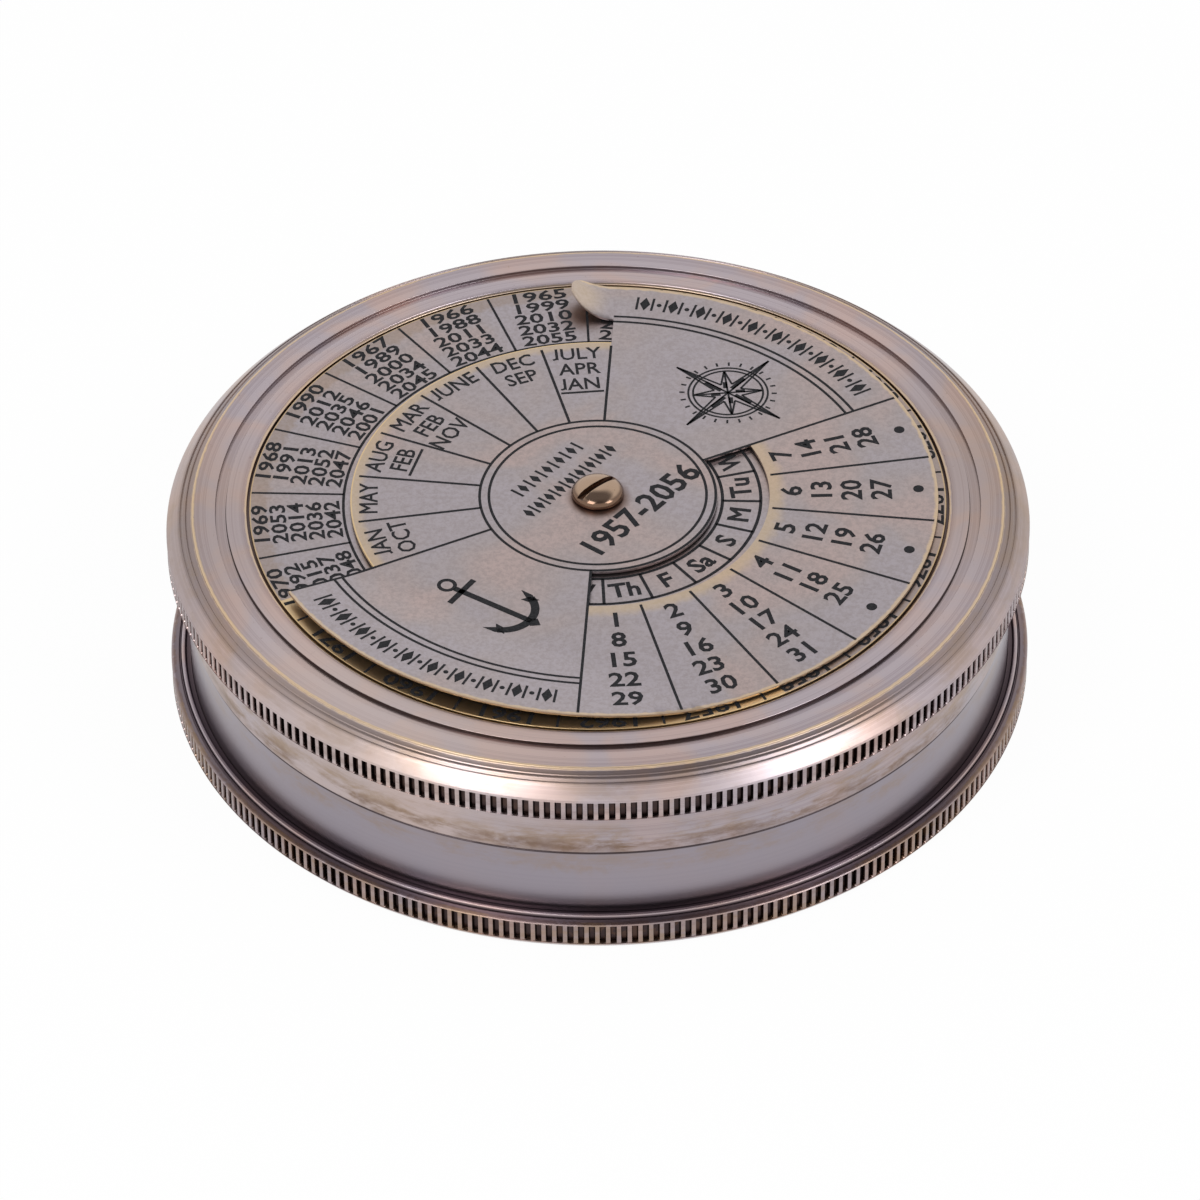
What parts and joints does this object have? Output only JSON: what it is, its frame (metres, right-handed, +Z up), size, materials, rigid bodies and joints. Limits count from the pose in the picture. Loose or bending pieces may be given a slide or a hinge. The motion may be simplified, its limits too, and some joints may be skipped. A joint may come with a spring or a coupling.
{
  "type": "perpetual desk calendar",
  "caption": "Round brass desk calendar with a turning disc on a screw-off knurled lid, over a small compass case.",
  "frame": {"origin": "centre of the underside, on the surface it stands on", "axes": "+Z up through the pivot screw; the first edge of the month sector, with the finger tab, lies at 86.3 degrees from +X towards +Y"},
  "size_m": [0.0806, 0.0806, 0.0213],
  "materials": {
    "antique_brass": "antiqued, turned and lightly polished, pinkish grey with golden worn edges",
    "disc_brass": "thin sheet, satin, with black filled marks",
    "inner_brass": "plain turned brass",
    "dial_metal": "matt cream paint",
    "steel": "polished steel pin",
    "needle_steel": "blued steel with a red north half",
    "glass": "clear flat glass",
    "jewel": "polished ruby red jewel"
  },
  "bodies": {
    "case": {"base_plate": "antique_brass", "case_wall": "antique_brass", "compass_dial": "dial_metal", "spacer_ring": "inner_brass", "pin_foot": "inner_brass", "pivot_pin": "steel", "compass_glass": "glass", "snap_ring": "inner_brass"},
    "needle": {"compass_needle": "needle_steel", "needle_hub": "inner_brass", "hub_jewel": "jewel"},
    "nut": {"pivot_nut": "inner_brass"},
    "washer": {"nut_washer": "inner_brass"},
    "lid": {"lid_shell": "antique_brass", "year_disc": "disc_brass", "disc_washer": "inner_brass", "pivot_screw": "inner_brass"},
    "calendar": {"calendar_disc": "disc_brass"}
  },
  "joints": [
    {"name": "lid_lift", "type": "slide", "parent": "case", "child": "nut", "axis": [0, 0, 1], "range_m": [0, 0.04]},
    {"name": "thread_rise", "type": "slide", "parent": "nut", "child": "washer", "axis": [0, 0, 1], "range_m": [0, 0.002]},
    {"name": "lid_unscrew", "type": "hinge", "parent": "washer", "child": "lid", "pos_m": [0, 0, 0.015], "axis": [0, 0, 1], "range_deg": [0, 720]},
    {"name": "calendar_turn", "type": "hinge", "parent": "lid", "child": "calendar", "pos_m": [0, 0, 0.0195], "axis": [0, 0, 1], "continuous": true},
    {"name": "needle_swing", "type": "hinge", "parent": "case", "child": "needle", "pos_m": [0, 0, 0.006], "axis": [0, 0, 1], "continuous": true}
  ],
  "couplings": [
    {"joint": "thread_rise", "follows": "lid_unscrew", "m_per_rad": 0.00015915}
  ]
}
